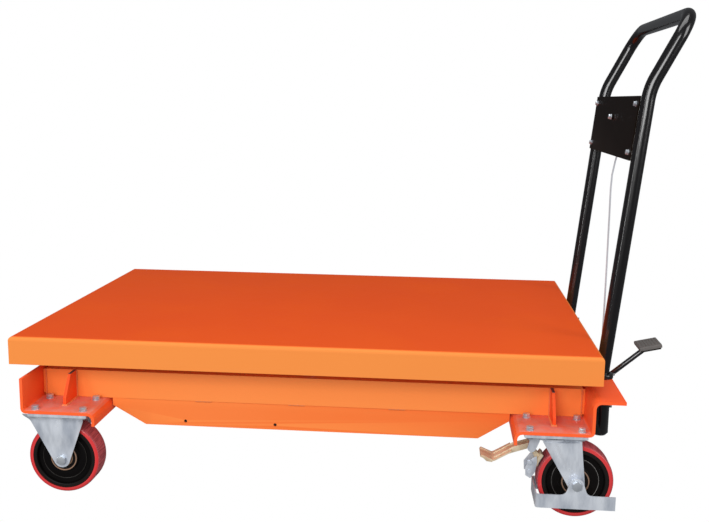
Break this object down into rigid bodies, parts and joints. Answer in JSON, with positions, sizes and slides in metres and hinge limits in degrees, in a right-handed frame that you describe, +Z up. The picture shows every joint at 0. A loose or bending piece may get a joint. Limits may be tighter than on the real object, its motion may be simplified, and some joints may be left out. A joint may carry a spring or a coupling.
{
  "type": "scissor lift table",
  "caption": "Mobile scissor lift table with a steel platform, push handle, foot pump, fixed and swivel casters.",
  "frame": {"origin": "under the middle of the whole outline, on the floor", "axes": "+X toward the push handle, +Y to the left when facing the handle, +Z up"},
  "size_m": [1.3952, 0.857, 1.006],
  "materials": {
    "orange_paint": "gloss",
    "black_gloss": "gloss",
    "zinc_plate": "bright zinc",
    "yellow_zinc": "yellow passivated",
    "bare_steel": "machined",
    "hard_chrome": "polished",
    "cast_iron": "satin",
    "red_polyurethane": "satin",
    "grey_rubber": "matt",
    "cable_sleeve": "clear over steel"
  },
  "bodies": {
    "base": {"front_cross_beam": "orange_paint", "rear_cross_beam": "orange_paint", "right_side_rail": "orange_paint", "left_side_rail": "orange_paint", "cylinder_anchor": "orange_paint", "cylinder_foot_pin": "bare_steel", "cylinder_barrel": "black_gloss", "pump_body": "black_gloss", "oil_reservoir": "black_gloss", "hydraulic_hose": "black_gloss", "handle_tube": "black_gloss", "handle_socket_right": "black_gloss", "handle_socket_left": "black_gloss", "control_panel": "black_gloss", "release_cable": "cable_sleeve", "fork_fixed_right": "zinc_plate", "fork_fixed_left": "zinc_plate", "wheel_axle_fixed_right": "zinc_plate", "wheel_axle_fixed_left": "zinc_plate", "caster_plate_right": "zinc_plate", "caster_plate_left": "zinc_plate"},
    "outer_arms": {"outer_arm_right": "orange_paint", "outer_arm_left": "orange_paint", "outer_cross_tube_front": "orange_paint", "outer_cross_tube_rear": "orange_paint", "centre_pin_right": "bare_steel", "centre_pin_left": "bare_steel"},
    "inner_arms": {"inner_arm_right": "orange_paint", "inner_arm_left": "orange_paint", "inner_cross_tube": "orange_paint", "roller_axle": "bare_steel"},
    "platform": {"platform_deck": "orange_paint", "platform_rail_right": "orange_paint", "platform_rail_left": "orange_paint"},
    "ram": {"cylinder_rod": "hard_chrome"},
    "pedal": {"pedal_arm": "black_gloss", "pedal_pad": "grey_rubber"},
    "plunger": {"pump_plunger": "hard_chrome"},
    "lever": {"release_lever": "black_gloss"},
    "valve": {"release_valve_arm": "yellow_zinc"},
    "lower_roller_body_right": {"lower_roller_right": "bare_steel"},
    "upper_roller_body_right": {"upper_roller_right": "bare_steel"},
    "fixed_wheel_right": {"wheel_core_fixed_right": "cast_iron", "tyre_fixed_right": "red_polyurethane"},
    "swivel_right": {"swivel_fork_right": "zinc_plate", "wheel_axle_swivel_right": "zinc_plate", "toe_guard_right": "zinc_plate"},
    "swivel_wheel_right": {"wheel_core_swivel_right": "cast_iron", "tyre_swivel_right": "red_polyurethane"},
    "brake_right": {"brake_pedal_right": "yellow_zinc"},
    "lower_roller_body_left": {"lower_roller_left": "bare_steel"},
    "upper_roller_body_left": {"upper_roller_left": "bare_steel"},
    "fixed_wheel_left": {"wheel_core_fixed_left": "cast_iron", "tyre_fixed_left": "red_polyurethane"},
    "swivel_left": {"swivel_fork_left": "zinc_plate", "wheel_axle_swivel_left": "zinc_plate", "toe_guard_left": "zinc_plate"},
    "swivel_wheel_left": {"wheel_core_swivel_left": "cast_iron", "tyre_swivel_left": "red_polyurethane"},
    "brake_left": {"brake_pedal_left": "yellow_zinc"}
  },
  "joints": [
    {"name": "outer_lift", "type": "hinge", "parent": "base", "child": "outer_arms", "pos_m": [-0.56762, 0, 0.2125], "axis": [0, -1, 0], "range_deg": [0, 38.01]},
    {"name": "inner_fold", "type": "hinge", "parent": "outer_arms", "child": "inner_arms", "pos_m": [-0.08965, 0, 0.2566], "axis": [0, -1, 0], "range_deg": [-76.52, 0.1]},
    {"name": "platform_level", "type": "hinge", "parent": "inner_arms", "child": "platform", "pos_m": [-0.56762, 0, 0.3007], "axis": [0, -1, 0], "range_deg": [-0.1, 38.21]},
    {"name": "ram_level", "type": "hinge", "parent": "inner_arms", "child": "ram", "pos_m": [0.38832, 0, 0.2125], "axis": [0, -1, 0], "range_deg": [-0.1, 38.21]},
    {"name": "pedal_press", "type": "hinge", "parent": "base", "child": "pedal", "pos_m": [0.53438, 0, 0.134], "axis": [0, 1, 0], "range_deg": [0, 30], "stiffness_Nm_per_rad": 8, "springref_deg": -20.05},
    {"name": "plunger_slide", "type": "slide", "parent": "base", "child": "plunger", "axis": [0, 0, -1], "range_m": [0, 0.0076]},
    {"name": "lever_squeeze", "type": "hinge", "parent": "base", "child": "lever", "pos_m": [0.56369, 0, 0.785], "axis": [0.9947, 0, -0.103], "range_deg": [0, 20], "stiffness_Nm_per_rad": 1.5, "springref_deg": -17.19},
    {"name": "valve_open", "type": "hinge", "parent": "base", "child": "valve", "pos_m": [0.51908, -0.0303, 0.104], "axis": [0, -1, 0], "range_deg": [0, 20.5]},
    {"name": "lower_roller_spin_right", "type": "hinge", "parent": "inner_arms", "child": "lower_roller_body_right", "pos_m": [0.38832, 0, 0.2125], "axis": [0, 1, 0], "continuous": true},
    {"name": "upper_roller_spin_right", "type": "hinge", "parent": "outer_arms", "child": "upper_roller_body_right", "pos_m": [0.38832, 0, 0.3007], "axis": [0, 1, 0], "continuous": true},
    {"name": "fixed_wheel_spin_right", "type": "hinge", "parent": "base", "child": "fixed_wheel_right", "pos_m": [-0.58882, -0.3765, 0.075], "axis": [0, 1, 0], "continuous": true},
    {"name": "swivel_turn_right", "type": "hinge", "parent": "base", "child": "swivel_right", "pos_m": [0.41338, -0.3765, 0.1717], "axis": [0, 0, 1], "continuous": true},
    {"name": "swivel_wheel_spin_right", "type": "hinge", "parent": "swivel_right", "child": "swivel_wheel_right", "pos_m": [0.45808, -0.3765, 0.075], "axis": [0, 1, 0], "continuous": true},
    {"name": "brake_press_right", "type": "hinge", "parent": "swivel_right", "child": "brake_right", "pos_m": [0.37038, -0.3765, 0.139], "axis": [0, -1, 0], "range_deg": [0, 5]},
    {"name": "lower_roller_spin_left", "type": "hinge", "parent": "inner_arms", "child": "lower_roller_body_left", "pos_m": [0.38832, 0, 0.2125], "axis": [0, 1, 0], "continuous": true},
    {"name": "upper_roller_spin_left", "type": "hinge", "parent": "outer_arms", "child": "upper_roller_body_left", "pos_m": [0.38832, 0, 0.3007], "axis": [0, 1, 0], "continuous": true},
    {"name": "fixed_wheel_spin_left", "type": "hinge", "parent": "base", "child": "fixed_wheel_left", "pos_m": [-0.58882, 0.3765, 0.075], "axis": [0, 1, 0], "continuous": true},
    {"name": "swivel_turn_left", "type": "hinge", "parent": "base", "child": "swivel_left", "pos_m": [0.41338, 0.3765, 0.1717], "axis": [0, 0, 1], "continuous": true},
    {"name": "swivel_wheel_spin_left", "type": "hinge", "parent": "swivel_left", "child": "swivel_wheel_left", "pos_m": [0.45808, 0.3765, 0.075], "axis": [0, 1, 0], "continuous": true},
    {"name": "brake_press_left", "type": "hinge", "parent": "swivel_left", "child": "brake_left", "pos_m": [0.37038, 0.3765, 0.139], "axis": [0, -1, 0], "range_deg": [0, 5]}
  ],
  "couplings": [
    {"joint": "inner_fold", "follows": "outer_lift", "ratio": -2},
    {"joint": "platform_level", "follows": "outer_lift", "ratio": 1},
    {"joint": "ram_level", "follows": "outer_lift", "ratio": 1},
    {"joint": "plunger_slide", "follows": "pedal_press", "m_per_rad": 0.014324},
    {"joint": "valve_open", "follows": "lever_squeeze", "ratio": 1}
  ]
}
